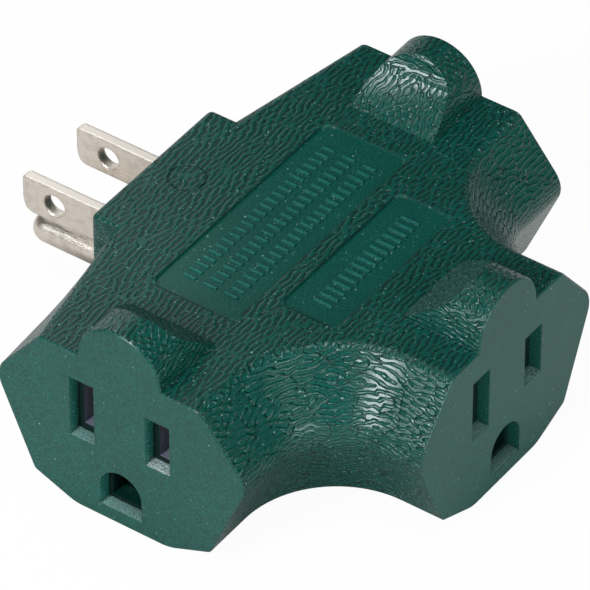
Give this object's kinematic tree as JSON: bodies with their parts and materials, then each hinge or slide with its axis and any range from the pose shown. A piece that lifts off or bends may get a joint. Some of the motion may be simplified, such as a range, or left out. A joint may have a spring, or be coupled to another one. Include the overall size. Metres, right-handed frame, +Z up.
{
  "type": "plug adapter",
  "caption": "Moulded plug adapter with grounding outlets on its front and sides, a flat-blade grounding plug at the back, and half-round grip bumps over the outlets.",
  "frame": {"origin": "on the plug face, midway between the two flat blades and at half their height", "axes": "+Y out of the plug face along the blades, +Z up towards the grip bumps, +X towards the outlet on the line blade's side"},
  "size_m": [0.0772, 0.0805, 0.0349],
  "materials": {
    "jacket": "dark green flexible moulding, satin, with a raised labyrinth grain everywhere but on the outlet faces and the recessed fields",
    "core": "near-black rigid moulding, satin",
    "plated_blade": "nickel-plated brass, warm grey, satin",
    "contact_metal": "bare spring brass, satin",
    "rivet": "bare brass, satin"
  },
  "bodies": {
    "root": {"jacket": "jacket", "core_base": "core", "core_cover": "core", "line_blade": "plated_blade", "neutral_blade": "plated_blade", "ground_pin": "plated_blade", "contact_rivets": "rivet", "plug_rivets": "rivet", "line_bus": "contact_metal", "neutral_bus": "contact_metal", "ground_bus": "contact_metal", "line_contact_left": "contact_metal", "neutral_contact_left": "contact_metal", "ground_contact_left": "contact_metal", "line_contact_front": "contact_metal", "neutral_contact_front": "contact_metal", "ground_contact_front": "contact_metal", "line_contact_right": "contact_metal", "neutral_contact_right": "contact_metal", "ground_contact_right": "contact_metal"}
  },
  "joints": []
}
